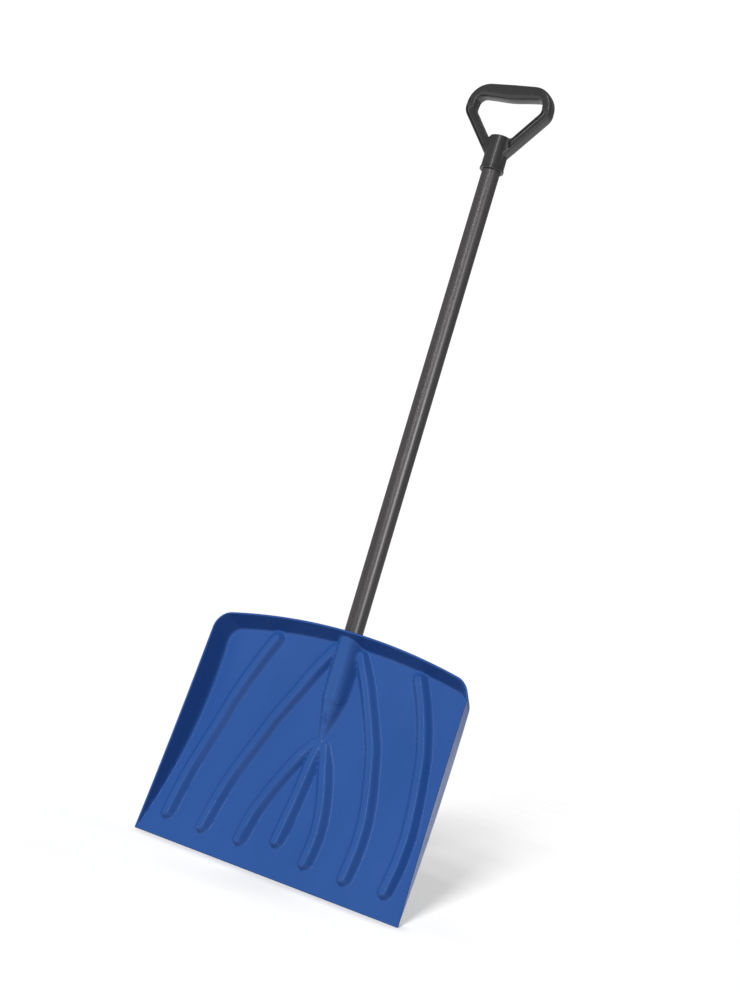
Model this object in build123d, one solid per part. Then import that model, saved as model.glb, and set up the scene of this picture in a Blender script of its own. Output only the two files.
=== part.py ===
from build123d import *
import os
from math import atan, cos, degrees, radians, sin, sqrt, tan

# Snow shovel: moulded scoop blade, plastic-jacketed steel tube and moulded D-grip, joined by screws.
# Frame, millimetres: +Z up along the tube, X across the blade, the scoop opens towards -Y.
# The origin is the middle of the blade's bottom edge, and the tube's axis stands at y = AXIS_Y.

# ---- blade -------------------------------------------------------------------------------------
BLADE_W = 457.2  # width at the bottom edge, 18 inches
AXIS_Y = 64.0  # how far the bottom edge kicks forward of the tube's axis
FLOOR_TOP_Y = AXIS_Y + 5.0  # front face of the floor where it runs parallel to the tube
BEND_Z = 310.0  # the floor curves forward below this height and is straight above it
WALL = 3.0  # moulded wall thickness
RIM_SLOPE = 0.094  # the rim lies in one plane, y = RIM_SLOPE * z
RIM_APEX_Z = 368.5  # top of the crowned upper rim
CROWN_R = 950.0
RIM_HALF_TOP = 220.2  # half width of the rim near its top corners
RIM_BOW = 1.6  # how far the rim's sides bow in from straight lines
RIM_CORNER_R = 24.0
SIDE_FLARE = 11.5  # degrees, side walls
TOP_FLARE = 21.0  # degrees, top wall
FLOOR_FILLET = 6.0
EDGE_LOSS = 0.5  # what that fillet takes off each end of the bottom edge
OVERRUN = 30.0  # how far the scoop's blank runs past the bottom edge before it is trimmed

# ---- ribs, raised on the front and hollow behind -------------------------------------------------
RIB_H = 7.5
RIB_TOP = 8.4  # width of the flat top
RIB_SKIN = 3.0
RIB_SKIN_AT_FOOT = 1.0  # how much narrower the hollow is than the rib, on each side of its foot
RIB_SKIN_AT_TOP = 0.8  # and of its top
# path of each rib's middle: x, z, width at the foot
OUTER_RIB = [(125, 332, 12), (139, 300, 27), (153, 265, 29), (166, 225, 29), (179, 160, 29),
             (187, 115, 29), (189.5, 75, 29), (188.5, 36, 27), (188, 24, 8)]
MIDDLE_RIB = [(30, 322, 16), (45, 300, 24), (62, 265, 28), (86, 215, 29), (107, 150, 30),
              (116.5, 115, 30), (121.5, 80, 29), (123.5, 45, 28), (123, 34, 26), (122, 22, 8)]
INNER_RIB = [(9, 200, 16), (24, 168, 24), (36, 140, 28), (46, 112, 29), (53.5, 85, 29),
             (56.5, 60, 29), (56.5, 38, 27), (56, 26, 8)]
CENTRE_RIB = [(0, 205, 14), (0, 170, 24), (0, 130, 28), (0, 90, 28), (0, 56, 26), (0, 42, 8)]
RIB_FULL_W = 22.0  # a rib narrower than this is lower in proportion

# ---- socket that takes the tube ------------------------------------------------------------------
TUBE_R = 14.3  # outside of the tube's jacket, 1 1/8 inches across
TUBE_BOTTOM_Z = 262.0
SOCKET_R = 17.5
SLEEVE_BOTTOM_Z = 252.0
SLEEVE_TOP_Z = 362.0
SLEEVE_END_R = 9.0  # rounding of its blind lower end
SCREW_PAD_R = 7.0
SCREW_PAD_H = 1.5  # how far the flat pads under the screw heads stand off the sleeve
# front boss: height, half width on the floor, half width of its flat front, front face's y
BOSS = [(358, 27, 12, AXIS_Y - 17.5), (300, 26, 12, AXIS_Y - 17.5), (262, 25, 12, AXIS_Y - 17.0),
        (258, 23, 11, AXIS_Y - 13.5), (247, 20, 9, AXIS_Y - 12.5), (226, 15, 7, AXIS_Y - 7.0),
        (208, 10, 4, AXIS_Y - 5.0), (196, 8, 2, AXIS_Y - 8.0)]
BOSS_KNEE = 0.92  # half width 1 mm off the floor, as a share of the half width on it
BOSS_SKIN_AT_FOOT = 1.3  # wall of the boss's foot and of its front's edges, as shares of RIB_SKIN
BOSS_SKIN_AT_FLAT = 0.7

# ---- tube ----------------------------------------------------------------------------------------
JACKET = 1.0  # plastic jacket over the steel core
CORE_WALL = 0.9
TUBE_TOP_Z = 1156.0

# ---- D-grip --------------------------------------------------------------------------------------
COLLAR_R = 17.2
COLLAR_BOTTOM_Z = 1107.0
COLLAR_TOP_Z = 1163.0
COLLAR_LIP_R = 18.0
COLLAR_LIP_H = 4.0
GRIP_HALF_W = 70.6
GRIP_TOP_Z = 1248.5
BAR_H = 23.5
BAR_DEPTH = 25.0
LEG_T = 15.0
LEG_DEPTH = 21.0
LEG_FOOT_X = 15.6  # where a leg's outer face meets the collar
LEG_FOOT_Z = 1130.0
LEG_ROOT = (4.6, 1116.0)  # where that face's line ends inside the collar: x, z
SHOULDER_Z = 1195.5  # where a leg's outer face starts to turn up into the bar
SHOULDER_R = 22.0
BAR_CORNER_R = 27.0
RING_EDGE_R = 4.5
GAP_CORNER_R = 8.0
NOTCH_HALF_W = 20.0  # bottom corners of the finger opening, beside the collar
BAR_REACH = 0.62  # length of the rounded bar, as a share of the grip's width
CHANNEL_W = 7.0  # channel along each leg, front and back
CHANNEL_DEPTH = 3.5
CHANNEL_L = 50.0
CHANNEL_MIDDLE = 43.0  # height of a channel's middle above the leg's foot

# ---- screws --------------------------------------------------------------------------------------
SCREW_R = 2.4
SCREW_HEAD_R = 4.8
SCREW_HEAD_H = 2.6
SCREW_REACH = 6.0  # how far a screw runs in past the tube's outside
RECESS_L = 5.0
RECESS_W = 1.1
SOCKET_SCREW_Z = [285.0, 335.0]
GRIP_SCREW_Z = 1128.0

BEND_DEPTH = FLOOR_TOP_Y  # the floor's front face passes through the origin
FLOOR_R = (BEND_Z ** 2 + BEND_DEPTH ** 2) / (2 * BEND_DEPTH)
RIM_TILT = degrees(atan(RIM_SLOPE))
LEG_LEAN = atan((GRIP_HALF_W - 2.0 - LEG_FOOT_X) / (SHOULDER_Z - LEG_FOOT_Z))


def floor_y(z):
    """Front face of the floor at height z."""
    if z >= BEND_Z:
        return FLOOR_TOP_Y
    return FLOOR_TOP_Y - FLOOR_R + sqrt(FLOOR_R ** 2 - (BEND_Z - z) ** 2)


def floor_tangent(x_per_z, z):
    """Unit direction, going up, of a line on the floor that moves x_per_z sideways per unit of height."""
    dy = 0.0 if z >= BEND_Z else (BEND_Z - z) / sqrt(FLOOR_R ** 2 - (BEND_Z - z) ** 2)
    return Vector(x_per_z, dy, 1).normalized()


def rim_plane():
    """Plane of the rim, facing forward, with its first axis across the blade."""
    tilt = radians(RIM_TILT)
    return Plane(origin=(0, 0, 0), x_dir=(1, 0, 0), z_dir=(0, -cos(tilt), sin(tilt)))


def rim_outline(depth, inset):
    """Scoop outline in a plane parallel to the rim, depth behind it, shrunk by the flare and inset."""
    side = depth * tan(radians(SIDE_FLARE)) + inset
    top = depth * tan(radians(TOP_FLARE)) + inset
    apex = RIM_APEX_Z / cos(radians(RIM_TILT)) - top
    half_top = RIM_HALF_TOP - side
    half_low = BLADE_W / 2 + EDGE_LOSS - side
    shoulder = apex - half_top ** 2 / (2 * CROWN_R)
    taper = (half_low - half_top) / shoulder
    half_blank = half_low + (taper + 4 * RIM_BOW / shoulder) * OVERRUN
    middle = ((half_low + half_top) / 2 - RIM_BOW, shoulder / 2)
    with BuildSketch(rim_plane().offset(-depth)) as sketch:
        with BuildLine():
            bottom = Line((-half_blank, -OVERRUN), (half_blank, -OVERRUN))
            right = ThreePointArc(bottom @ 1, middle, (half_top, shoulder))
            ThreePointArc(right @ 1, (0, apex), (-half_top, shoulder))
            ThreePointArc((-half_top, shoulder), (-middle[0], middle[1]), bottom @ 0)
        make_face()
        corners = sketch.vertices().filter_by(lambda v: abs(v.Y - shoulder) < 0.01)
        fillet(corners, max(RIM_CORNER_R - depth * 0.1 - inset, FLOOR_FILLET + 3))
    return sketch.sketch.face()


def space_in_front_of_floor(setback):
    """Everything in front of the floor's front face moved back by setback."""
    radius = FLOOR_R + setback
    centre_y = FLOOR_TOP_Y - FLOOR_R
    low_angle = radians(-45)
    with BuildSketch(Plane.YZ) as sketch:
        with BuildLine():
            start = (centre_y + radius * cos(low_angle), BEND_Z + radius * sin(low_angle))
            middle = (centre_y + radius * cos(low_angle / 2), BEND_Z + radius * sin(low_angle / 2))
            arc = ThreePointArc(start, middle, (centre_y + radius, BEND_Z))
            Polyline(arc @ 1, (centre_y + radius, 420), (-260, 420), (-260, start[1]), arc @ 0)
        make_face()
    return extrude(sketch.sketch, amount=300, both=True)


def scoop(inset, setback, fillet_radius):
    """Solid with the scoop's shape, open side running on in front of the rim plane."""
    body = loft([rim_outline(-70, inset), rim_outline(100, inset)], ruled=True)
    body = body & space_in_front_of_floor(setback)
    back = FLOOR_TOP_Y + setback
    straight = body.faces().filter_by(lambda f: abs(f.center().Y - back) < 0.01)
    curved = body.faces().filter_by(GeomType.CYLINDER).filter_by(lambda f: f.area > 50000)
    edges = straight.edges() + curved.edges()
    edges = edges.filter_by(lambda e: abs((e @ 0.5).X) > 1 or (e @ 0.5).Z > BEND_Z + 5)
    return fillet(edges, fillet_radius)


def rib(path, skin):
    """Rib with a flat top along the floor; skin > 0 gives the matching groove for the back."""
    sections = []
    for i, (x, z, width) in enumerate(path):
        before = path[max(i - 1, 0)]
        after = path[min(i + 1, len(path) - 1)]
        x_per_z = (after[0] - before[0]) / (after[1] - before[1])
        along = floor_tangent(x_per_z, z)
        across = floor_tangent(0, z).cross(Vector(1, 0, 0))
        front = Vector(0, -1, 0) if across.Y == 0 else across * (-1 if across.Y > 0 else 1)
        side = front.cross(along).normalized()
        height = RIB_H * min(1.0, width / RIB_FULL_W)
        foot = width / 2
        crest = min(RIB_TOP / 2, foot * 0.4)
        base, root = 0, -WALL / 2
        if skin:
            height -= skin
            foot -= RIB_SKIN_AT_FOOT
            crest -= RIB_SKIN_AT_TOP
            base, root = -WALL, -WALL - 2
        points = [(-foot, root), (-foot, base), (-crest, height), (crest, height), (foot, base), (foot, root)]
        plane = Plane(origin=(x, floor_y(z), z), x_dir=side, z_dir=side.cross(front))
        sections.append(make_face(Polyline(*[plane.from_local_coords(p) for p in points], close=True)))
    return loft(sections, ruled=True)


def mirrored(shape):
    return mirror(shape, about=Plane.YZ)


def socket_boss(skin=0):
    """Boss that encloses the tube and narrows into the ribs' root; skin > 0 gives its hollow."""
    sections = []
    for z, foot, flat, front in BOSS[:-1] if skin else BOSS:
        back = floor_y(z) + (WALL + 2 if skin else WALL / 2)
        foot -= skin * BOSS_SKIN_AT_FOOT
        flat -= skin * BOSS_SKIN_AT_FLAT
        knee = foot * BOSS_KNEE
        corners = [(-foot, back, z), (-knee, floor_y(z) - 1, z), (-flat, front + skin, z),
                   (flat, front + skin, z), (knee, floor_y(z) - 1, z), (foot, back, z)]
        sections.append(make_face(Polyline(*corners, close=True)))
    return loft(sections, ruled=True)


def upright(radius, low, high):
    """Round bar on the tube's axis."""
    return Pos(0, AXIS_Y, low) * Cylinder(radius, high - low, align=(Align.CENTER, Align.CENTER, Align.MIN))


def socket_sleeve():
    """Sleeve round the tube behind the scoop, before it is bored."""
    sleeve = upright(SOCKET_R, SLEEVE_BOTTOM_Z, SLEEVE_TOP_Z)
    return fillet(sleeve.edges().sort_by(Axis.Z)[0], SLEEVE_END_R)


def screw_hole(z):
    """Bore of a screw that comes in from behind, through the socket or collar and the tube's near wall."""
    return Pos(0, AXIS_Y + TUBE_R, z) * Rot(90, 0, 0) * Cylinder(SCREW_R, 16)


def bored(body, heights):
    for z in heights:
        body = body - screw_hole(z)
    return body


def screw(z, seat_r):
    """Pan-head screw entering from behind; its head seats on a surface of radius seat_r round the axis."""
    seat_y = AXIS_Y + seat_r
    tip_y = AXIS_Y + TUBE_R - SCREW_REACH
    shank = Pos(0, (seat_y + tip_y) / 2, z) * Rot(90, 0, 0) * Cylinder(SCREW_R, seat_y - tip_y)
    head = Pos(0, seat_y + SCREW_HEAD_H / 2, z) * Rot(90, 0, 0) * Cylinder(SCREW_HEAD_R, SCREW_HEAD_H)
    head = fillet(head.edges().sort_by(Axis.Y)[-1], 1.6)
    cross = Box(RECESS_L, SCREW_HEAD_H, RECESS_W) + Box(RECESS_W, SCREW_HEAD_H, RECESS_L)
    recess = Pos(0, seat_y + SCREW_HEAD_H, z) * cross
    return shank + head - recess


def blade():
    outer = scoop(0, WALL, FLOOR_FILLET + WALL)
    inner = scoop(WALL, 0, FLOOR_FILLET)
    body = outer - inner
    body = split(body, bisect_by=rim_plane(), keep=Keep.BOTTOM)
    body = split(body, bisect_by=Plane.XY, keep=Keep.TOP)
    ribs = [OUTER_RIB, MIDDLE_RIB, INNER_RIB]
    for path in ribs:
        raised = rib(path, 0)
        body = body + raised + mirrored(raised)
    body = body + rib(CENTRE_RIB, 0)
    for path in ribs:
        groove = rib(path, RIB_SKIN)
        body = body - groove - mirrored(groove)
    body = body - rib(CENTRE_RIB, RIB_SKIN)
    body = body + socket_boss() - socket_boss(RIB_SKIN) + socket_sleeve()
    for z in SOCKET_SCREW_Z:
        body = body + Pos(0, AXIS_Y + SOCKET_R, z) * Rot(90, 0, 0) * Cylinder(SCREW_PAD_R, 2 * SCREW_PAD_H)
    body = body - upright(TUBE_R, TUBE_BOTTOM_Z, RIM_APEX_Z + 20)
    return bored(body, SOCKET_SCREW_Z)


def pipe(outer, wall):
    """Length of tube, bored for every screw."""
    body = upright(outer, TUBE_BOTTOM_Z, TUBE_TOP_Z) - upright(outer - wall, TUBE_BOTTOM_Z, TUBE_TOP_Z)
    return bored(body, SOCKET_SCREW_Z + [GRIP_SCREW_Z])


def shaft_sleeve():
    return pipe(TUBE_R, JACKET)


def shaft_core():
    return pipe(TUBE_R - JACKET, CORE_WALL)


def grip_outline():
    """Closed D in the XZ plane through the tube's axis, with its finger opening."""
    top = GRIP_TOP_Z
    under_bar = top - BAR_H
    side_x = GRIP_HALF_W + 0.9
    run = tan(LEG_LEAN)
    inner_foot_x = LEG_FOOT_X - LEG_T / cos(LEG_LEAN)
    knee_z = SHOULDER_Z + 10
    knee_x = inner_foot_x + (knee_z - LEG_FOOT_Z) * run
    notch_z = LEG_FOOT_Z + (NOTCH_HALF_W - inner_foot_x) / run
    with BuildSketch(Plane.XZ) as sketch:
        with BuildLine():
            half = [LEG_ROOT, (side_x, SHOULDER_Z + 5.0), (GRIP_HALF_W - 3.0, top - 1.0), (0, top)]
            Polyline(*half, *[(-x, z) for x, z in half[-2::-1]], close=True)
        make_face()
        fillet(sketch.vertices().filter_by(lambda v: v.Y > top - 5 and abs(v.X) > 1), BAR_CORNER_R)
        fillet(sketch.vertices().filter_by(lambda v: SHOULDER_Z < v.Y < SHOULDER_Z + 10), SHOULDER_R)
        with BuildLine():
            half = [(15.0, notch_z - 3), (NOTCH_HALF_W, notch_z), (knee_x, knee_z), (knee_x - 3.0, under_bar)]
            Polyline(*half, *[(-x, z) for x, z in half[::-1]], close=True)
        make_face(mode=Mode.SUBTRACT)
        for level in (under_bar, knee_z):
            gap = sketch.vertices().filter_by(lambda v: abs(v.Y - level) < 0.5 and abs(v.X) < knee_x + 1)
            fillet(gap, GAP_CORNER_R)
    return sketch.sketch


def leg_channel(side, face):
    """Blind channel in a leg, on the right (side 1) or left, and on the back (face 1) or front."""
    x = side * (LEG_FOOT_X + CHANNEL_MIDDLE * tan(LEG_LEAN) - LEG_T / 2 / cos(LEG_LEAN))
    channel = Box(CHANNEL_W, 2 * CHANNEL_DEPTH, CHANNEL_L)
    channel = fillet(channel.edges().filter_by(Axis.Y), 3.0)
    place = Pos(x, AXIS_Y + face * LEG_DEPTH / 2, LEG_FOOT_Z + CHANNEL_MIDDLE)
    return place * Rot(0, side * degrees(LEG_LEAN), 0) * channel


def collar():
    body = upright(COLLAR_R, COLLAR_BOTTOM_Z, COLLAR_TOP_Z)
    body = body + upright(COLLAR_LIP_R, COLLAR_BOTTOM_Z, COLLAR_BOTTOM_Z + COLLAR_LIP_H)
    return fillet(body.edges().sort_by(Axis.Z)[-1], 1.5)


def d_grip():
    ring = Pos(0, AXIS_Y, 0) * extrude(grip_outline(), amount=LEG_DEPTH / 2, both=True)
    rims = ring.edges().filter_by(lambda e: abs(abs((e @ 0.5).Y - AXIS_Y) - LEG_DEPTH / 2) < 0.1)
    ring = fillet(rims, RING_EDGE_R)
    reach = GRIP_HALF_W * BAR_REACH
    oval = Pos(AXIS_Y, GRIP_TOP_Z - BAR_H / 2) * Ellipse(BAR_DEPTH / 2, BAR_H / 2)
    ring = ring + extrude(Plane.YZ.offset(-reach) * oval, amount=2 * reach)
    for side in (-1, 1):
        for face in (-1, 1):
            ring = ring - leg_channel(side, face)
    grip = ring + collar() - upright(TUBE_R, COLLAR_BOTTOM_Z - 5, TUBE_TOP_Z)
    return bored(grip, [GRIP_SCREW_Z])


PARTS = {
    "blade": blade(),
    "shaft_core": shaft_core(),
    "shaft_sleeve": shaft_sleeve(),
    "d_grip": d_grip(),
    "grip_screw": screw(GRIP_SCREW_Z, COLLAR_R),
    "socket_screws": Compound([screw(z, SOCKET_R + 1.5) for z in SOCKET_SCREW_Z]),
}

os.makedirs("parts", exist_ok=True)
for name, part in PARTS.items():
    export_step(part, os.path.join("parts", name + ".step"))
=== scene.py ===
import math

import bpy
import numpy as np
from mathutils import Matrix, Vector


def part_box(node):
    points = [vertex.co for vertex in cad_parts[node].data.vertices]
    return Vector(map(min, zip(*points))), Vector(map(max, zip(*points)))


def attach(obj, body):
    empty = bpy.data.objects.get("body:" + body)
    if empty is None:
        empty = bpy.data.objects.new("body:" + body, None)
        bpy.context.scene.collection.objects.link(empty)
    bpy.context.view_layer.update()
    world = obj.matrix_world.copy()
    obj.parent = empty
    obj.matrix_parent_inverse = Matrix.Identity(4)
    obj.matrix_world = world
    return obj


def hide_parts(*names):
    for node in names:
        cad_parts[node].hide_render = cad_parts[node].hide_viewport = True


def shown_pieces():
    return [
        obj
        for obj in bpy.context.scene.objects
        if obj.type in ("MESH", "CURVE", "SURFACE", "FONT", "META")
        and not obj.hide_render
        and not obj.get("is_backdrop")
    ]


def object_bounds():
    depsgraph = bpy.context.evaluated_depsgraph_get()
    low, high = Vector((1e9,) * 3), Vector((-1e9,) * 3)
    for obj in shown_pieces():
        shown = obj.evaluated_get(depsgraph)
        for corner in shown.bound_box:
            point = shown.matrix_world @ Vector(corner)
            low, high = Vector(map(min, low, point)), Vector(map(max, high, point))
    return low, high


# Snow shovel: the looks of its moulded blade, jacketed tube, D-grip and screws.
# The shape functions work in millimetres in the CAD frame; meshes are written in metres.

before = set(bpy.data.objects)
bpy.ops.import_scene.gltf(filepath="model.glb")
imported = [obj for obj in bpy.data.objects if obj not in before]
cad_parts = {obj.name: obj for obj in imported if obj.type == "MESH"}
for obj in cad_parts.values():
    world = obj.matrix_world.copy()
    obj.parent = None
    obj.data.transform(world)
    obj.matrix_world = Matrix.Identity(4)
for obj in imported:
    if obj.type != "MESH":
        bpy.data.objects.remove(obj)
cad_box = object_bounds()

MM = 0.001
sleeve_low, sleeve_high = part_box("shaft_sleeve")
blade_low, blade_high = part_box("blade")
grip_low, grip_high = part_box("d_grip")

# ---- driving dimensions, millimetres and degrees -------------------------------------------------
SMOOTH_ANGLE = 35.0  # a sharper bend between two faces shows as an edge
JOINED_SMOOTH_ANGLE = 38.0
GRIP_SMOOTH_ANGLE = 70.0

AXIS_Y = (sleeve_low.y + sleeve_high.y) / 2 / MM
TUBE_R = (sleeve_high.x - sleeve_low.x) / 2 / MM
FLOOR_Y = AXIS_Y + 5.0  # front of the scoop's floor where it runs parallel to the tube
BEND_Z = 310.0  # the floor curves forward below this height
FLOOR_R = (BEND_Z ** 2 + FLOOR_Y ** 2) / (2 * FLOOR_Y)
WALL = 3.0
EDGE_R = WALL / 2  # rounding of the rim and the bottom edge
RIM_SLOPE = 0.094  # how far the rim leans back, per height
RIM_APEX_Z = blade_high.z / MM
CROWN_R = 950.0  # radius of the rim's arched top
HALF_LOW = (blade_high.x - blade_low.x) / 2 / MM
HALF_TOP = 220.2  # half width of the rim at its top corners
RIM_BOW = 1.6  # how far its sides bend in halfway up
RIM_CORNER_R = 24.0
SIDE_SPREAD = math.tan(math.radians(11.5))  # how fast the side walls open towards the rim
TOP_SPREAD = math.tan(math.radians(21.0)) + RIM_SLOPE
FILLET_Z = (0.0, 120.0, 190.0, 300.0)  # the fillet between floor and walls grows with height
FILLET_R = (2.0, 3.0, 5.0, 5.5)
FILLET_EASE = 15.0
SCOOP_STEPS = 34  # halvings that find the scoop's surface
OUTLINE_STEPS = 12  # passes that fit its grid to the outline
EDGE_STEPS = 5  # faces round the rim's rounded edge

RIB_H = 10.4
RIB_TOP = 4.7  # half width of a rib's flat top
RIB_FLANK = 8.2  # width of each sloping side
RIB_EASE = 0.6  # rounding of its top edges
RIB_FOOT_EASE = RIB_EASE * 1.3
RIB_PATH_EASE = 9.0
# path of each rib's middle, right half: x, z, half width
OUTER_RIB = [(123.5, 332, 13), (139, 300, 15), (153, 265, 15), (166, 225, 15), (179, 160, 15),
             (187, 115, 14.5), (189.5, 75, 14), (188.5, 35, 12)]
MIDDLE_RIB = [(21, 341, 11), (32, 322, 12.5), (45, 300, 13.5), (62, 265, 14.5), (86, 215, 15),
              (107, 150, 15.5), (116.5, 115, 15), (121.5, 80, 14.5), (123.5, 33, 12)]
INNER_RIB = [(9, 200, 8), (24, 168, 13), (36, 140, 14.5), (46, 112, 15), (53.5, 85, 15),
             (56.5, 60, 14), (56.5, 34, 12)]
CENTRE_RIB = [(0, 205, 7), (0, 170, 13), (0, 130, 14.5), (0, 90, 14), (0, 49, 12)]

# boss over the tube: height, ridge's y, shoulder's x, foot's x
BOSS = [(380, 46.2, 13.4, 24.5), (266, 46.2, 13.4, 22.5), (258, 49.0, 11.0, 21.0), (247, 50.4, 9.5, 18.5),
        (226, 55.4, 7.0, 14.0), (208, 59.0, 4.5, 10.0), (194, 64.0, 3.0, 6.0)]
BOSS_ROUND = 1.42  # radius of its rounded ridge, in shoulder widths
BOSS_EASE = 2.5
BOSS_FOOT_EASE = 1.6
BOSS_BLEND = 4.0  # how softly it runs into the floor
BOSS_WALL = WALL * 1.15
GROOVE_Z = (223.0, 229.0, 242.0, 247.0)  # groove down the boss's nose
GROOVE_DEPTH = 3.2
GROOVE_REACH = 2.0
SLEEVE_R = 17.4
SLEEVE_LOW, SLEEVE_TUBE_LOW, SLEEVE_HIGH = 257.0, 262.0, 362.0
SLEEVE_END_R = 8.0  # rounding of its blind end
SLEEVE_FRONT = 0.90  # its front is flatter, so that it stays under the boss
BORE_R = TUBE_R + 0.05  # of the sleeve and the collar, a hair wider than the tube
AXIS_CORE_R = 0.01  # a turned profile's ends stop this short of its axis
SLEEVE_BEVEL = 0.8
SLEEVE_MOUTH_BEVEL = 0.5
PAD_R = 7.0  # pads under the socket's screws
PAD_FRONT = TUBE_R + 0.3  # from the tube's axis, inside the sleeve's wall
PAD_BACK = 19.0
PAD_BEVEL = 0.5
PAD_POINTS = 48
SOCKET_SCREW_Z = [285.0, 335.0]

COLLAR_R = 18.0
COLLAR_LIP_R = 18.9
COLLAR_LIP_H = 3.8
COLLAR_BEVEL = 0.8
COLLAR_MOUTH_BEVEL = 0.6
COLLAR_LOW = grip_low.z / MM
COLLAR_HIGH = 1163.0
COLLAR_DOME = 1.2
TUBE_TOP = sleeve_high.z / MM
GRIP_TOP = grip_high.z / MM
GRIP_HALF_W = (grip_high.x - grip_low.x) / 2 / MM
GRIP_BAR_H = 23.5
# half of the D's outline and of its opening, from the collar up: corners as x, z, and their radii
GRIP_OUTER = [(4.6, 1116.0), (24.6, 1141.3), (GRIP_HALF_W + 1.8, 1200.5), (GRIP_HALF_W, GRIP_TOP - 1.0),
              (0.0, GRIP_TOP)]
GRIP_OUTER_R = [20.0, 22.0, 36.0]
GRIP_INNER = [(8.0, 1160.8), (21.4, 1161.4), (57.6, 1206.5), (55.0, GRIP_TOP - GRIP_BAR_H + 1.0),
              (0.0, GRIP_TOP - GRIP_BAR_H + 0.5)]
GRIP_INNER_R = [7.0, 11.0, 9.0]
GRIP_AROUND = 64  # points round its section
BAR_SPAN = (0.70, 0.85)  # where the leg turns into the bar, as shares of the way along half of the D
LEG_DEPTH, BAR_DEPTH = 10.5, 12.5  # half depths
LEG_SQUARE, BAR_SQUARE = 4.5, 3.6  # higher is squarer in section
HAND_SWELL = 2.2  # bulge under the bar's middle
HAND_REACH = 26.0
CHANNEL_SPAN = (0.12, 0.17, 0.52, 0.62)  # starts, is deep, starts to rise and ends, as shares of the way
CHANNEL_DEPTH = 4.6  # sunk channel down each leg
CHANNEL_HALF = 0.58  # its half width, as a share of the leg's
CHANNEL_EDGE = 0.05

# ---- camera and lights, metres and degrees -------------------------------------------------------
CAMERA_AZIMUTH, CAMERA_ELEVATION, CAMERA_ROLL = 29.27, -6.63, 16.70
CAMERA_DISTANCE = 2.31
CAMERA_LENS = 55.8
AIM_X, AIM_Y = -0.0230, -0.0062  # from the middle of the shovel
AIM_HEIGHT = 0.4521  # as a share of its height
FLOOR_REACH = 80.0
WORLD_STRENGTH = 0.26
BACKDROP_STRENGTH = 1.02
SHADOW_AZIMUTH = 16.6
SHADOW_SPREAD = 5.0
# elevation of each sun and its share of the floor's light
SHADOW_SUNS = ((7.5, 0.30), (12.0, 0.22), (18.0, 0.18), (26.0, 0.14))
OVERHEAD_SHARE = 0.56
OVERHEAD_SPREAD = 8.0


# ---- mesh helpers --------------------------------------------------------------------------------
def new_object(name, points, faces, material, smooth_angle=SMOOTH_ANGLE):
    """Mesh object from points in millimetres, smooth where faces meet at less than smooth_angle."""
    mesh = bpy.data.meshes.new(name)
    mesh.from_pydata([tuple(p) for p in np.asarray(points) * MM], [], [tuple(map(int, f)) for f in faces])
    mesh.validate()
    mesh.update()
    mesh.shade_smooth()
    mesh.set_sharp_from_angle(angle=math.radians(smooth_angle))
    mesh.materials.append(material)
    piece = bpy.data.objects.new(name, mesh)
    bpy.context.scene.collection.objects.link(piece)
    return piece


def grid_faces(rows, columns, first=0, flip=False):
    """Quads of a grid of points numbered row by row from first."""
    r, c = np.meshgrid(np.arange(rows - 1), np.arange(columns - 1), indexing="ij")
    a = (first + r * columns + c).ravel()
    quads = np.stack([a, a + 1, a + columns + 1, a + columns], axis=1)
    return quads[:, ::-1] if flip else quads


def ring_faces(rings, around):
    """Quads between closed rings of points, each numbered after the last."""
    r, c = np.meshgrid(np.arange(rings - 1), np.arange(around), indexing="ij")
    a = (r * around + c).ravel()
    b = (r * around + (c + 1) % around).ravel()
    return np.stack([a, b, b + around, a + around], axis=1)


def soft_interp(x, xs, ys, reach):
    """Straight interpolation averaged over reach on either side, which rounds its corners."""
    offsets = np.linspace(-reach, reach, 5)
    order = np.argsort(xs)
    xs, ys = np.asarray(xs, float)[order], np.asarray(ys, float)[order]
    return sum(np.interp(x + o, xs, ys) for o in offsets) / len(offsets)


def soft_min(a, b, reach):
    """Smaller of a and b, blended where they are within reach of each other."""
    h = np.clip(0.5 + 0.5 * (b - a) / reach, 0, 1)
    return b * (1 - h) + a * h - reach * h * (1 - h)


def ramp(q, ease):
    """max(q, 0) with a rounded corner."""
    return (q + np.sqrt(q * q + ease * ease)) / 2


# ---- the scoop's surfaces ------------------------------------------------------------------------
def below_bend(z):
    """How far z is below the height where the floor starts to curve."""
    return np.clip(BEND_Z - z, 0, None)


def floor_y(z, setback):
    """y of the scoop's floor, moved back by setback."""
    return FLOOR_Y - FLOOR_R + np.sqrt((FLOOR_R + setback) ** 2 - below_bend(z) ** 2)


def rim_half(z):
    """Half width of the rim at each height."""
    t = z / (RIM_APEX_Z - HALF_TOP ** 2 / (2 * CROWN_R))
    return HALF_LOW + (HALF_TOP - HALF_LOW) * t - 4 * RIM_BOW * t * (1 - t)


def rim_top(x):
    """Height of the rim's arched top."""
    return RIM_APEX_Z - x ** 2 / (2 * CROWN_R)


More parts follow.
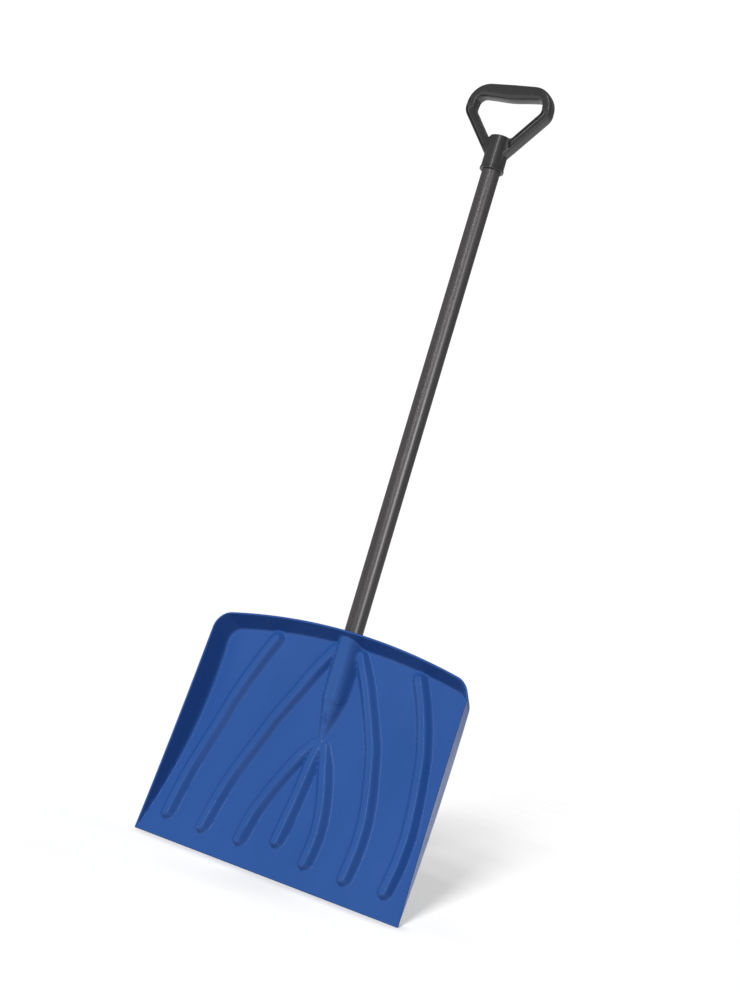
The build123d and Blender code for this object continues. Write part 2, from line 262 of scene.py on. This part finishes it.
def clearance(x, y, z, inset, setback, fillet):
    """How far a point is inside the scoop, whose floor is moved back by setback and walls in by inset."""
    depth = y - RIM_SLOPE * z - EDGE_R
    corner = RIM_CORNER_R - inset
    side = rim_half(z) - inset - np.abs(x) - depth * SIDE_SPREAD
    top = rim_top(x) - inset - z - depth * TOP_SPREAD
    a, b = np.clip(corner - side, 0, None), np.clip(corner - top, 0, None)
    reach = np.hypot(a, b)
    inside = np.where((a > 0) & (b > 0), corner - reach, np.minimum(side, top))
    in_corner = (b / np.maximum(reach, 1e-6)) ** 2
    topness = np.where((a > 0) & (b > 0), in_corner, (top < side).astype(float))
    spread = np.arctan(SIDE_SPREAD + (TOP_SPREAD - SIDE_SPREAD) * topness)
    wall = inside * np.cos(spread)
    lift = np.sin(spread)
    floor = FLOOR_R + setback - np.sqrt((y - FLOOR_Y + FLOOR_R) ** 2 + below_bend(z) ** 2)
    p, q = fillet - floor, fillet - wall
    blended = fillet - np.sqrt(np.maximum(p * p + q * q - 2 * lift * p * q, 0) / (1 - lift ** 2))
    return np.where((p > lift * q) & (q > lift * p), blended, np.minimum(floor, wall))


def scoop_y(x, z, inset, setback, fillet):
    """y of the scoop's surface behind each (x, z)."""
    low = RIM_SLOPE * z - 2 * WALL
    high = floor_y(z, setback) + 1.0
    for _ in range(SCOOP_STEPS):
        middle = (low + high) / 2
        inside = clearance(x, middle, z, inset, setback, fillet) > 0
        low = np.where(inside, middle, low)
        high = np.where(inside, high, middle)
    ahead_of_rim = np.minimum(floor_y(z, setback), RIM_SLOPE * z + EDGE_R)
    return np.maximum((low + high) / 2, ahead_of_rim)


def smooth_path(points, steps=90):
    """Curve along (x, z, half width) points with its corners rounded."""
    points = np.array(points, float)
    along = np.concatenate([[0], np.cumsum(np.hypot(*np.diff(points[:, :2], axis=0).T))])
    t = np.linspace(0, along[-1], steps)
    return np.stack([soft_interp(t, along, points[:, k], RIB_PATH_EASE) for k in range(3)], axis=1)


def rib_height(x, z, path):
    """Height of one rib above the floor."""
    curve = smooth_path(path)
    best = np.full(x.shape, 1e9)
    half = np.zeros(x.shape)
    for (x0, z0, w0), (x1, z1, w1) in zip(curve[:-1], curve[1:]):
        dx, dz = x1 - x0, z1 - z0
        t = np.clip(((x - x0) * dx + (z - z0) * dz) / (dx * dx + dz * dz + 1e-9), 0, 1)
        far = np.hypot(x - x0 - t * dx, z - z0 - t * dz)
        closer = far < best
        best = np.where(closer, far, best)
        half = np.where(closer, w0 + t * (w1 - w0), half)
    height = RIB_H * np.clip((half - RIB_TOP) / RIB_FLANK, 0, 1)
    slope = RIB_H / RIB_FLANK
    crest = height - slope * ramp(best - RIB_TOP, RIB_EASE)
    return ramp(crest, RIB_FOOT_EASE)


def all_ribs(x, z):
    """Height of the seven ribs; all but the centre one are mirrored."""
    height = rib_height(x, z, CENTRE_RIB)
    for path in (OUTER_RIB, MIDDLE_RIB, INNER_RIB):
        height = np.maximum(height, rib_height(np.abs(x), z, path))
    return height


def boss_y(x, z, outset=0.0):
    """Front of the boss over the tube; outset > 0 gives the hollow behind it."""
    heights, *columns = zip(*BOSS)
    ridge, shoulder, foot = (soft_interp(z, heights, column, BOSS_EASE) for column in columns)
    radius = BOSS_ROUND * shoulder
    across = np.minimum(np.abs(x), shoulder)
    rounded = radius - np.sqrt(radius ** 2 - across ** 2)
    shoulder_y = ridge + radius - np.sqrt(radius ** 2 - shoulder ** 2)
    steep = (FLOOR_Y - shoulder_y) / (foot - shoulder)
    groove = GROOVE_DEPTH * np.interp(z, GROOVE_Z, (0, 1, 1, 0)) * np.exp(-(x / GROOVE_REACH) ** 2)
    return ridge + outset + groove + rounded + steep * ramp(np.abs(x) - shoulder, BOSS_FOOT_EASE)


def rib_relief(x, z):
    """Height of the ribs measured along Y, as the floor leans forward low down."""
    lean = 1 / np.sqrt(1 - (below_bend(z) / FLOOR_R) ** 2)
    return all_ribs(x, z) * lean


def front_y(x, z):
    fillet = soft_interp(z, FILLET_Z, FILLET_R, FILLET_EASE)
    surface = scoop_y(x, z, WALL, 0.0, fillet) - rib_relief(x, z)
    return soft_min(surface, boss_y(x, z), BOSS_BLEND)


def back_y(x, z):
    fillet = soft_interp(z, FILLET_Z, FILLET_R, FILLET_EASE) + WALL
    surface = scoop_y(x, z, 0.0, WALL, fillet) - rib_relief(x, z)
    return soft_min(surface, boss_y(x, z, BOSS_WALL), BOSS_BLEND)


# ---- the blade's mesh ----------------------------------------------------------------------------
def spaced(length, fine, coarse, fine_reach):
    """Places from 0 to length, close together up to fine_reach and wider beyond."""
    near = np.linspace(0, fine_reach, int(round(fine_reach / fine)) + 1)
    far = np.linspace(fine_reach, length, int(round((length - fine_reach) / coarse)) + 1)
    return np.concatenate([near, far[1:]])


def blade_grid(inset, low):
    """x and z of the grid over the scoop, whose outline shrinks by inset; rows run up from low."""
    from_side = spaced(HALF_LOW, fine=1.25, coarse=1.9, fine_reach=40.0)
    from_top = spaced(RIM_APEX_Z, fine=1.3, coarse=2.3, fine_reach=36.0)
    half = 1 - from_side / HALF_LOW
    across = np.concatenate([-half, half[-2::-1]])
    up = (1 - from_top / RIM_APEX_Z)[::-1]
    u, v = np.meshgrid(across, up)
    corner = RIM_CORNER_R - inset
    x, z = HALF_LOW * u, RIM_APEX_Z * v
    for _ in range(OUTLINE_STEPS):
        side, top = rim_half(z) - inset, rim_top(x) - inset
        a = np.clip(corner - side * (1 - np.abs(u)), 0, None)
        b = np.clip(corner - (top - low) * (1 - v), 0, None)
        shrink = np.maximum(a, b) / np.maximum(np.hypot(a, b), 1e-9)
        pull = np.where((a > 0) & (b > 0), 1 - shrink, 0.0)
        x = np.sign(u) * (side * np.abs(u) - a * pull)
        z = low + (top - low) * v - b * pull
    return x, z


def border(rows, columns):
    """Point numbers round a grid: up the left, over the top, down the right, back along the bottom."""
    grid = np.arange(rows * columns).reshape(rows, columns)
    return np.concatenate([grid[:, 0], grid[-1, 1:], grid[-2::-1, -1], grid[0, -2:0:-1]])


def blade_shell():
    """Points and faces of the scoop with rounded edges all round."""
    x, z = blade_grid(WALL, EDGE_R)
    rows, columns = x.shape
    front = np.stack([x, front_y(x, z), z], axis=-1).reshape(-1, 3)
    x, z = blade_grid(0.0, EDGE_R)
    back = np.stack([x, back_y(x, z), z], axis=-1).reshape(-1, 3)
    count = len(front)
    faces = [grid_faces(rows, columns), grid_faces(rows, columns, count, flip=True)]
    loop = border(rows, columns)
    a, b = front[loop], back[loop]
    rim = 2 * rows + columns - 2  # the loop's first points, up to the lower right corner
    outward = np.zeros((len(loop), 3))
    outward[:rim] = (0, -1, 0)
    outward[rim:] = (0, 0, -1)
    outward[[0, rim - 1]] = (0, -0.7, -0.7)
    steps = [math.pi * k / EDGE_STEPS for k in range(1, EDGE_STEPS)]
    strips = [(a + b) / 2 + (a - b) / 2 * math.cos(t) + outward * EDGE_R * math.sin(t) for t in steps]
    points = np.concatenate([front, back] + strips)
    chain = [loop] + [2 * count + k * len(loop) + np.arange(len(loop)) for k in range(len(steps))]
    chain.append(loop + count)
    for first, second in zip(chain[:-1], chain[1:]):
        faces.append(np.stack([first, second, np.roll(second, -1), np.roll(first, -1)], axis=1))
    return points, np.concatenate(faces)


def turned(profile, around=96):
    """Points and faces of a closed (radius, z) profile turned round the tube's axis."""
    angle = np.arange(around) * 2 * math.pi / around
    c, s = np.cos(angle), np.sin(angle)
    rings = [np.stack([r * c, AXIS_Y + r * s, np.full(around, z)], axis=1) for r, z in profile]
    a = np.arange(around)
    b = (a + 1) % around
    last = (len(profile) - 1) * around
    closing = np.stack([last + a, last + b, b, a], axis=1)
    return np.concatenate(rings), np.concatenate([ring_faces(len(profile), around), closing])


def capped_rings(rings, around):
    """Faces of a rounded bar made of rings, with a cap on each end."""
    a = np.arange(around)
    faces = [tuple(f) for f in ring_faces(rings, around)]
    faces.append(tuple(a[::-1]))
    faces.append(tuple((rings - 1) * around + a))
    return faces


def joined(base, others):
    """Unites closed objects into base, so that it is one clean skin."""
    for other in others:
        unite = base.modifiers.new("unite", "BOOLEAN")
        unite.operation = "UNION"
        unite.solver = "EXACT"
        unite.object = other
    evaluated = base.evaluated_get(bpy.context.evaluated_depsgraph_get())
    mesh = bpy.data.meshes.new_from_object(evaluated)
    base.modifiers.clear()
    old = base.data
    base.data = mesh
    bpy.data.meshes.remove(old)
    for other in others:
        bpy.data.objects.remove(other)
    base.data.shade_smooth()
    base.data.set_sharp_from_angle(angle=math.radians(JOINED_SMOOTH_ANGLE))


def sleeve_shell():
    """Sleeve behind the scoop that holds the tube, with a rounded blind end."""
    end = [(SLEEVE_R - SLEEVE_END_R * (1 - math.sin(t)), SLEEVE_LOW + SLEEVE_END_R * (1 - math.cos(t)))
           for t in np.linspace(0, math.pi / 2, 9)]
    profile = [(AXIS_CORE_R, SLEEVE_LOW)] + end + [
        (SLEEVE_R, SLEEVE_HIGH - SLEEVE_BEVEL), (SLEEVE_R - SLEEVE_BEVEL, SLEEVE_HIGH),
        (BORE_R + SLEEVE_MOUTH_BEVEL, SLEEVE_HIGH), (BORE_R, SLEEVE_HIGH - SLEEVE_MOUTH_BEVEL),
        (BORE_R, SLEEVE_TUBE_LOW), (AXIS_CORE_R, SLEEVE_TUBE_LOW)]
    points, faces = turned(profile)
    x, y, z = points.T
    slack = 0.1  # keeps the bore and its mouth round
    outside = np.hypot(x, y - AXIS_Y) > BORE_R + SLEEVE_MOUTH_BEVEL + slack
    outside |= z < SLEEVE_TUBE_LOW - slack
    points[:, 1] = np.where(outside & (y < AXIS_Y), AXIS_Y - (AXIS_Y - y) * SLEEVE_FRONT, y)
    return points, faces


def pad_shell(z):
    """Flat pad under a screw head, a short bar along Y."""
    angle = np.arange(PAD_POINTS) * 2 * math.pi / PAD_POINTS
    c, s = np.cos(angle), np.sin(angle)
    front, back = AXIS_Y + PAD_FRONT, AXIS_Y + PAD_BACK
    rings = [(PAD_R, front), (PAD_R, back - PAD_BEVEL), (PAD_R - PAD_BEVEL, back)]
    points = [np.stack([r * c, np.full(PAD_POINTS, y), z + r * s], axis=1) for r, y in rings]
    return np.concatenate(points), capped_rings(len(rings), PAD_POINTS)


def make_blade(material):
    points, faces = blade_shell()
    blade = new_object("blade_moulding", points, faces, material)
    extras = [new_object("sleeve_shell", *sleeve_shell(), material)]
    for k, z in enumerate(SOCKET_SCREW_Z):
        extras.append(new_object("pad_shell_%d" % k, *pad_shell(z), material))
    joined(blade, extras)
    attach(blade, "root")
    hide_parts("blade")


# ---- the D-grip's mesh ---------------------------------------------------------------------------
def rounded_line(corners, radii, per_line, per_arc):
    """Points along straight runs and the arcs that round their corners, an equal count for each."""
    corners = [np.array(c, float) for c in corners]
    points = []
    start = corners[0]
    for before, corner, after, radius in zip(corners[:-2], corners[1:-1], corners[2:], radii):
        back = (before - corner) / np.linalg.norm(before - corner)
        on = (after - corner) / np.linalg.norm(after - corner)
        half = math.acos(np.clip(back @ on, -1, 1)) / 2
        reach = radius / math.tan(half)
        enter, leave = corner + back * reach, corner + on * reach
        centre = corner + (back + on) / np.linalg.norm(back + on) * radius / math.sin(half)
        points += [start + (enter - start) * t for t in np.linspace(0, 1, per_line, endpoint=False)]
        first = math.atan2(*(enter - centre)[::-1])
        turn = math.atan2(*(leave - centre)[::-1]) - first
        turn = (turn + math.pi) % (2 * math.pi) - math.pi
        points += [centre + radius * np.array([math.cos(first + turn * t), math.sin(first + turn * t)])
                   for t in np.linspace(0, 1, per_arc, endpoint=False)]
        start = leave
    points += [start + (corners[-1] - start) * t for t in np.linspace(0, 1, per_line)]
    return np.array(points)


def eased(t):
    """Eases from 0 to 1 as t goes from 0 to 1."""
    return t * t * (3 - 2 * t)


def both_ways(half):
    """Values along half of the D and back along its other half."""
    return np.concatenate([half, half[-2::-1]])


def grip_ring(per_line=16, per_arc=14):
    """The D itself: rings of points from one leg's root over the bar to the other's."""
    outer = rounded_line(GRIP_OUTER, GRIP_OUTER_R, per_line, per_arc)
    inner = rounded_line(GRIP_INNER, GRIP_INNER_R, per_line, per_arc)
    under_bar = inner[:, 1] > GRIP_TOP - GRIP_BAR_H - 4
    inner[:, 1] -= HAND_SWELL * np.exp(-(inner[:, 0] / HAND_REACH) ** 2) * under_bar
    t = np.linspace(0, 1, len(outer))
    bar_share = eased(np.interp(t, BAR_SPAN, (0, 1)))
    leg_share = eased(np.interp(t, CHANNEL_SPAN, (0, 1, 1, 0)))
    depth = both_ways(LEG_DEPTH + (BAR_DEPTH - LEG_DEPTH) * bar_share)
    square = both_ways(LEG_SQUARE + (BAR_SQUARE - LEG_SQUARE) * bar_share)
    sunk = both_ways(CHANNEL_DEPTH * leg_share)
    outer = np.concatenate([outer, outer[-2::-1] * (-1, 1)])
    inner = np.concatenate([inner, inner[-2::-1] * (-1, 1)])
    angle = np.arange(GRIP_AROUND) * 2 * math.pi / GRIP_AROUND
    c, s = np.cos(angle), np.sin(angle)
    rings = []
    for o, i, half_deep, power, dip in zip(outer, inner, depth, 2 / square, sunk):
        across = np.sign(c) * np.abs(c) ** power
        deep = np.sign(s) * np.abs(s) ** power
        # the channel is sunk into the front and the back of the leg only
        channel = dip / (1 + np.exp((np.abs(across) - CHANNEL_HALF) / CHANNEL_EDGE))
        y = AXIS_Y + deep * half_deep - np.sign(s) * np.where(np.abs(deep) > 0.5, channel, 0)
        middle, arm = (o + i) / 2, (o - i) / 2
        rings.append(np.stack([middle[0] + arm[0] * across, y, middle[1] + arm[1] * across], axis=1))
    return np.concatenate(rings), len(rings)


def collar_shell():
    """Collar over the tube's top, with a lip at its foot and a low dome inside the D."""
    edge = COLLAR_HIGH - COLLAR_DOME
    dome = [(AXIS_CORE_R, COLLAR_HIGH), (COLLAR_R * 0.6, COLLAR_HIGH - 0.3), (COLLAR_R - 1.6, edge),
            (COLLAR_R - 0.5, edge - 0.6), (COLLAR_R, edge - 2.0)]
    lip = [(COLLAR_R, COLLAR_LOW + COLLAR_LIP_H + COLLAR_BEVEL), (COLLAR_LIP_R, COLLAR_LOW + COLLAR_LIP_H),
           (COLLAR_LIP_R, COLLAR_LOW + COLLAR_BEVEL), (COLLAR_LIP_R - COLLAR_BEVEL, COLLAR_LOW)]
    mouth = [(BORE_R + COLLAR_MOUTH_BEVEL, COLLAR_LOW), (BORE_R, COLLAR_LOW + COLLAR_MOUTH_BEVEL),
             (BORE_R, TUBE_TOP), (AXIS_CORE_R, TUBE_TOP)]
    profile = dome + lip + mouth
    return turned(profile[::-1])


def make_grip(material):
    grip = new_object("grip_moulding", *collar_shell(), material)
    points, rings = grip_ring()
    faces = capped_rings(rings, GRIP_AROUND)
    ring = new_object("grip_ring", points, faces, material, smooth_angle=GRIP_SMOOTH_ANGLE)
    joined(grip, [ring])
    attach(grip, "root")
    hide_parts("d_grip")


# ---- materials -----------------------------------------------------------------------------------
class Nodes:
    """A material's node tree with short ways to add to it."""

    def __init__(self, name):
        self.material = bpy.data.materials.new(name)
        self.material.use_nodes = True
        self.tree = self.material.node_tree
        self.shader = self.tree.nodes["Principled BSDF"]

    def add(self, kind, **inputs):
        node = self.tree.nodes.new(kind)
        for key, value in inputs.items():
            node.inputs[key.replace("_", " ")].default_value = value
        return node

    def link(self, source, target):
        self.tree.links.new(source, target)

    def noise(self, scale, detail=3.0, roughness=0.55, stretch=(1, 1, 1)):
        """Noise in the frame's own coordinates, stretched along the axes."""
        place = self.add("ShaderNodeTexCoord")
        mapping = self.add("ShaderNodeMapping", Scale=stretch)
        texture = self.add("ShaderNodeTexNoise", Scale=scale, Detail=detail, Roughness=roughness)
        self.link(place.outputs["Object"], mapping.inputs["Vector"])
        self.link(mapping.outputs["Vector"], texture.inputs["Vector"])
        return texture.outputs["Fac"]

    def span(self, value, low, high, start=0.3, end=0.7):
        """value from start to end becomes low to high."""
        node = self.add("ShaderNodeMapRange")
        node.inputs["From Min"].default_value = start
        node.inputs["From Max"].default_value = end
        node.inputs["To Min"].default_value = low
        node.inputs["To Max"].default_value = high
        self.link(value, node.inputs["Value"])
        return node.outputs["Result"]

    def tint(self, value, dark, light):
        """Colour between dark and light as value goes from 0 to 1."""
        node = self.add("ShaderNodeMix")
        node.data_type = "RGBA"
        node.inputs["A"].default_value = (*dark, 1)
        node.inputs["B"].default_value = (*light, 1)
        self.link(value, node.inputs["Factor"])
        return node.outputs["Result"]

    def bump(self, layers):
        """Fine relief from (value, depth in metres) layers."""
        normal = None
        for value, depth in layers:
            node = self.add("ShaderNodeBump", Strength=1.0, Distance=depth)
            self.link(value, node.inputs["Height"])
            if normal is not None:
                self.link(normal, node.inputs["Normal"])
            normal = node.outputs["Normal"]
        self.link(normal, self.shader.inputs["Normal"])


def blade_material():
    """Blue polypropylene: slight flow marks in the colour, fine moulded grain, soft gloss."""
    m = Nodes("blue_polypropylene")
    flow = m.noise(9.0, detail=4.0, stretch=(1.0, 1.0, 0.45))
    colour = m.tint(m.span(flow, 0.0, 1.0), (0.0220, 0.0800, 0.282), (0.0260, 0.0880, 0.306))
    m.link(colour, m.shader.inputs["Base Color"])
    grain = m.noise(900.0, detail=2.0)
    sheen = m.noise(38.0, detail=3.0)
    m.link(m.span(sheen, 0.26, 0.34), m.shader.inputs["Roughness"])
    m.bump([(grain, 0.000006), (sheen, 0.00006)])
    m.shader.inputs["IOR"].default_value = 1.49
    m.shader.inputs["Specular IOR Level"].default_value = 0.28
    return m.material


def jacket_material():
    """Dark plastic jacket of the tube: drawn lengthwise, so streaks run along it."""
    m = Nodes("tube_jacket")
    streak = m.noise(420.0, detail=3.0, stretch=(1.0, 1.0, 0.012))
    patch = m.noise(14.0, detail=3.0, stretch=(1.0, 1.0, 0.3))
    colour = m.tint(m.span(streak, 0.0, 1.0), (0.036, 0.033, 0.034), (0.053, 0.048, 0.050))
    m.link(colour, m.shader.inputs["Base Color"])
    m.link(m.span(patch, 0.33, 0.41), m.shader.inputs["Roughness"])
    m.bump([(streak, 0.00001)])
    return m.material


def grip_material():
    """Black moulded plastic with a satin gloss."""
    m = Nodes("grip_plastic")
    patch = m.noise(30.0, detail=4.0)
    colour = m.tint(m.span(patch, 0.0, 1.0), (0.019, 0.018, 0.018), (0.027, 0.026, 0.026))
    m.link(colour, m.shader.inputs["Base Color"])
    grain = m.noise(1100.0, detail=2.0)
    m.link(m.span(patch, 0.34, 0.44), m.shader.inputs["Roughness"])
    m.shader.inputs["Coat Weight"].default_value = 0.25
    m.shader.inputs["Coat Roughness"].default_value = 0.14
    m.bump([(grain, 0.0000015), (patch, 0.00004)])
    return m.material


def steel_material(name, tone, roughness):
    """Zinc-plated steel with fine turning marks."""
    m = Nodes(name)
    mark = m.noise(700.0, detail=3.0, stretch=(1.0, 0.1, 1.0))
    low, high = [c * 0.85 for c in tone], [c * 1.1 for c in tone]
    m.link(m.tint(m.span(mark, 0.0, 1.0), low, high), m.shader.inputs["Base Color"])
    m.link(m.span(mark, roughness - 0.06, roughness + 0.06), m.shader.inputs["Roughness"])
    m.bump([(mark, 0.00002)])
    m.shader.inputs["Metallic"].default_value = 1.0
    return m.material


def floor_material():
    """Plain pale studio floor, lit a little from within."""
    m = Nodes("studio_floor")
    speck = m.noise(3.0, detail=2.0)
    colour = m.tint(m.span(speck, 0.0, 1.0), (0.49, 0.49, 0.49), (0.51, 0.51, 0.51))
    m.link(colour, m.shader.inputs["Base Color"])
    m.shader.inputs["Emission Color"].default_value = (1, 1, 1, 1)
    m.shader.inputs["Emission Strength"].default_value = 0.19
    m.shader.inputs["Roughness"].default_value = 0.9
    m.shader.inputs["Specular IOR Level"].default_value = 0.1
    return m.material


def dress(node, material):
    """Gives a carried-over CAD node its material."""
    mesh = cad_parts[node].data
    mesh.materials.clear()
    mesh.materials.append(material)


# ---- stage ---------------------------------------------------------------------------------------
def make_floor():
    mesh = bpy.data.meshes.new("floor")
    corners = [(x * FLOOR_REACH, y * FLOOR_REACH, 0) for x, y in ((-1, -1), (1, -1), (1, 1), (-1, 1))]
    mesh.from_pydata(corners, [], [(0, 1, 2, 3)])
    mesh.materials.append(floor_material())
    floor = bpy.data.objects.new("studio_floor", mesh)
    bpy.context.scene.collection.objects.link(floor)
    floor.visible_diffuse = False
    floor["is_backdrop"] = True
    return floor


def make_world(strength, backdrop):
    """Even light from all round; the backdrop that the camera sees is white."""
    world = bpy.data.worlds.new("studio")
    world.use_nodes = True
    tree = world.node_tree
    background = tree.nodes["Background"]
    background.inputs["Color"].default_value = (1, 1, 1, 1)
    path = tree.nodes.new("ShaderNodeLightPath")
    pick = tree.nodes.new("ShaderNodeMapRange")
    pick.inputs["To Min"].default_value = strength
    pick.inputs["To Max"].default_value = backdrop
    tree.links.new(path.outputs["Is Camera Ray"], pick.inputs["Value"])
    tree.links.new(pick.outputs["Result"], background.inputs["Strength"])
    bpy.context.scene.world = world


def direction(azimuth, elevation):
    """Unit vector from the object towards a light or camera; azimuth 0 is in front, 90 on the right."""
    a, e = math.radians(azimuth), math.radians(elevation)
    return Vector((math.sin(a) * math.cos(e), -math.cos(a) * math.cos(e), math.sin(e)))


def place_lamp(name, light, azimuth, elevation, location, lit, shades=True, glints=True):
    """Puts a light in place; without shades it only glints, and without glints it only shades."""
    lamp = bpy.data.objects.new(name, light)
    lamp.rotation_mode = "QUATERNION"
    lamp.location = location
    lamp.rotation_quaternion = direction(azimuth, elevation).to_track_quat("Z", "Y")
    lamp.light_linking.receiver_collection = lit
    lamp.visible_diffuse = shades
    lamp.visible_glossy = glints
    bpy.context.scene.collection.objects.link(lamp)


def make_sun(name, azimuth, elevation, strength, spread, lit):
    light = bpy.data.lights.new(name, "SUN")
    light.energy = strength
    light.angle = math.radians(spread)
    place_lamp(name, light, azimuth, elevation, (0, 0, 3), lit)  # a sun lights the same from any place


def make_panel(name, azimuth, elevation, distance, width, height, power, target, lit, **only):
    light = bpy.data.lights.new(name, "AREA")
    light.shape = "RECTANGLE"
    light.size, light.size_y = width, height
    light.energy = power
    location = target + direction(azimuth, elevation) * distance
    place_lamp(name, light, azimuth, elevation, location, lit, **only)


def make_camera():
    """Camera to the right of the shovel, low, looking a little up and rolled so that the handle leans."""
    low, high = cad_box
    aim = Vector(((low.x + high.x) / 2 + AIM_X, (low.y + high.y) / 2 + AIM_Y, high.z * AIM_HEIGHT))
    away = direction(CAMERA_AZIMUTH, CAMERA_ELEVATION)
    level = away.to_track_quat("Z", "Y")
    roll = Matrix.Rotation(math.radians(CAMERA_ROLL), 3, "Z").to_quaternion()
    data = bpy.data.cameras.new("camera")
    data.lens = CAMERA_LENS
    data.sensor_width = 36.0
    camera = bpy.data.objects.new("camera", data)
    camera.rotation_mode = "QUATERNION"
    camera.location = aim + away * CAMERA_DISTANCE
    camera.rotation_quaternion = level @ roll
    bpy.context.scene.collection.objects.link(camera)
    bpy.context.scene.camera = camera


def lit_group(name, pieces):
    """Collection that a light is linked to, so that it lights only these pieces."""
    group = bpy.data.collections.new(name)
    for piece in pieces:
        group.objects.link(piece)
    return group


def make_lights(on_floor, on_shovel, on_tube):
    """Suns that give the floor its shadow, soft panels for the shovel and thin strips for its glints."""
    low, high = cad_box
    middle = (low + high) / 2
    make_world(WORLD_STRENGTH, BACKDROP_STRENGTH)
    for elevation, share in SHADOW_SUNS:
        strength = share * math.pi / math.sin(math.radians(elevation))
        make_sun("shadow_sun_%d" % elevation, SHADOW_AZIMUTH, elevation, strength, SHADOW_SPREAD, on_floor)
    make_sun("overhead", 196, 80, OVERHEAD_SHARE * math.pi, OVERHEAD_SPREAD, on_floor)
    # azimuth, elevation, distance, width, height, power
    make_panel("main_panel", -3, 13, 3.0, 0.7, 0.7, 95, middle, on_shovel, glints=False)
    make_panel("back_panel", 140, 8, 2.6, 2.0, 2.0, 42, middle, on_shovel, glints=False)
    make_panel("edge_strip", 7, 30, 2.4, 0.25, 2.2, 18, middle, on_shovel, shades=False)
    make_panel("tube_strip", 51, 8, 2.6, 0.12, 1.2, 46, middle, on_tube, shades=False)


floor = make_floor()
make_camera()
make_blade(blade_material())
make_grip(grip_material())
dress("shaft_sleeve", jacket_material())
dress("shaft_core", steel_material("core_steel", (0.42, 0.42, 0.43), 0.4))
screw_steel = steel_material("screw_steel", (0.62, 0.61, 0.60), 0.32)
dress("grip_screw", screw_steel)
dress("socket_screws", screw_steel)

lit_floor = lit_group("lit_floor", [floor])
lit_shovel = lit_group("lit_shovel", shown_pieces())
lit_tube = lit_group("lit_tube", [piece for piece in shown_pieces() if piece.name.startswith("shaft")])
make_lights(lit_floor, lit_shovel, lit_tube)

bpy.context.scene.view_settings.view_transform = "Standard"
